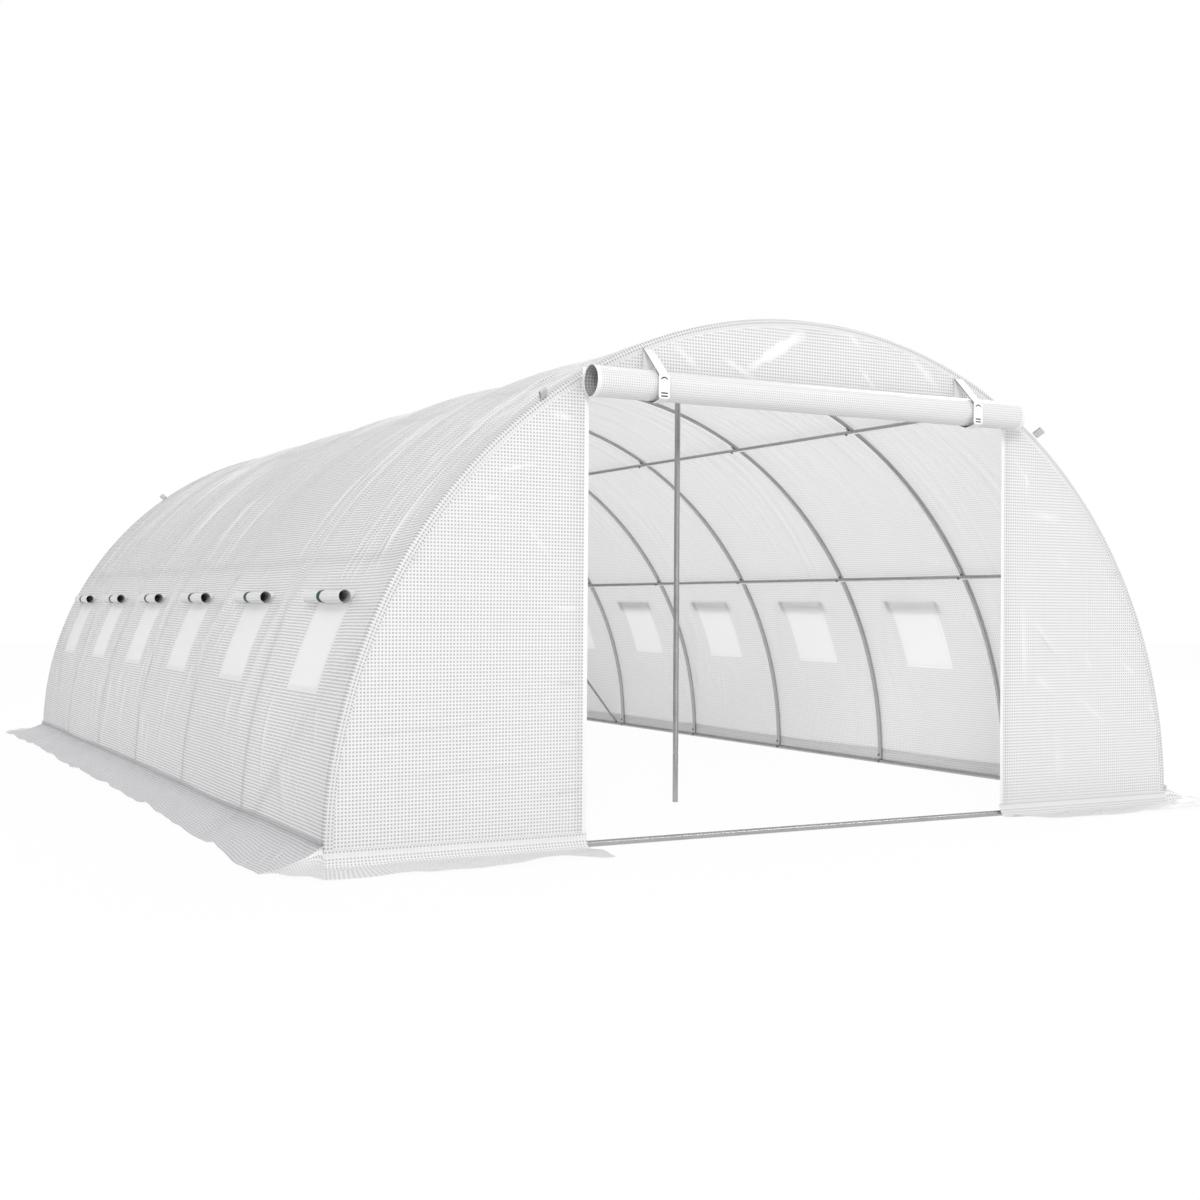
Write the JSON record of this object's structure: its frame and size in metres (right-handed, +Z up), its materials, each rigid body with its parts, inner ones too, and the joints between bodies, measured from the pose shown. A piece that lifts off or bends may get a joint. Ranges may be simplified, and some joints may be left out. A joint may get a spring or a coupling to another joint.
{
  "type": "polytunnel greenhouse",
  "caption": "Half-round fabric tunnel on galvanised tube hoops, with a rolled-up door, rolled side windows and a ground skirt, to shelter plants.",
  "frame": {"origin": "centre of the whole footprint, at ground level", "axes": "+X across the tunnel, to the right seen from the open door; +Y along the tunnel, from the open door to the rear; +Z up"},
  "size_m": [6.6, 9.8, 3.05],
  "materials": {
    "galvanised_steel": "galvanised, satin",
    "cover_sheet": "white reinforced sheet with a square grid of threads, slight gloss",
    "window_net": "fine white net",
    "strap_webbing": "white webbing",
    "loop_webbing": "grey webbing",
    "buckle_plastic": "white moulded plastic"
  },
  "bodies": {
    "root": {"front_hoop": "galvanised_steel", "hoop_2": "galvanised_steel", "hoop_3": "galvanised_steel", "hoop_4": "galvanised_steel", "hoop_5": "galvanised_steel", "hoop_6": "galvanised_steel", "rear_hoop": "galvanised_steel", "ridge_purlin": "galvanised_steel", "left_upper_purlin": "galvanised_steel", "right_upper_purlin": "galvanised_steel", "left_side_purlin": "galvanised_steel", "right_side_purlin": "galvanised_steel", "left_base_rail": "galvanised_steel", "right_base_rail": "galvanised_steel", "front_sill_rail": "galvanised_steel", "rear_sill_rail": "galvanised_steel", "centre_posts": "galvanised_steel", "corner_braces": "galvanised_steel", "front_door_frame": "galvanised_steel", "rear_door_frame": "galvanised_steel", "left_wall_cover": "cover_sheet", "right_wall_cover": "cover_sheet", "left_lower_roof_cover": "cover_sheet", "right_lower_roof_cover": "cover_sheet", "left_upper_roof_cover": "cover_sheet", "right_upper_roof_cover": "cover_sheet", "left_ground_skirt": "cover_sheet", "right_ground_skirt": "cover_sheet", "front_ground_skirts": "cover_sheet", "rear_ground_skirts": "cover_sheet", "front_left_panel": "cover_sheet", "front_right_panel": "cover_sheet", "front_header_panel": "cover_sheet", "rear_left_panel": "cover_sheet", "rear_right_panel": "cover_sheet", "rear_header_panel": "cover_sheet", "rear_door_flap": "cover_sheet", "front_door_roll": "cover_sheet", "left_window_rolls": "cover_sheet", "right_window_rolls": "cover_sheet", "left_window_screens": "window_net", "right_window_screens": "window_net", "front_door_straps": "strap_webbing", "rope_loops": "loop_webbing", "front_door_buckles": "buckle_plastic"}
  },
  "joints": []
}
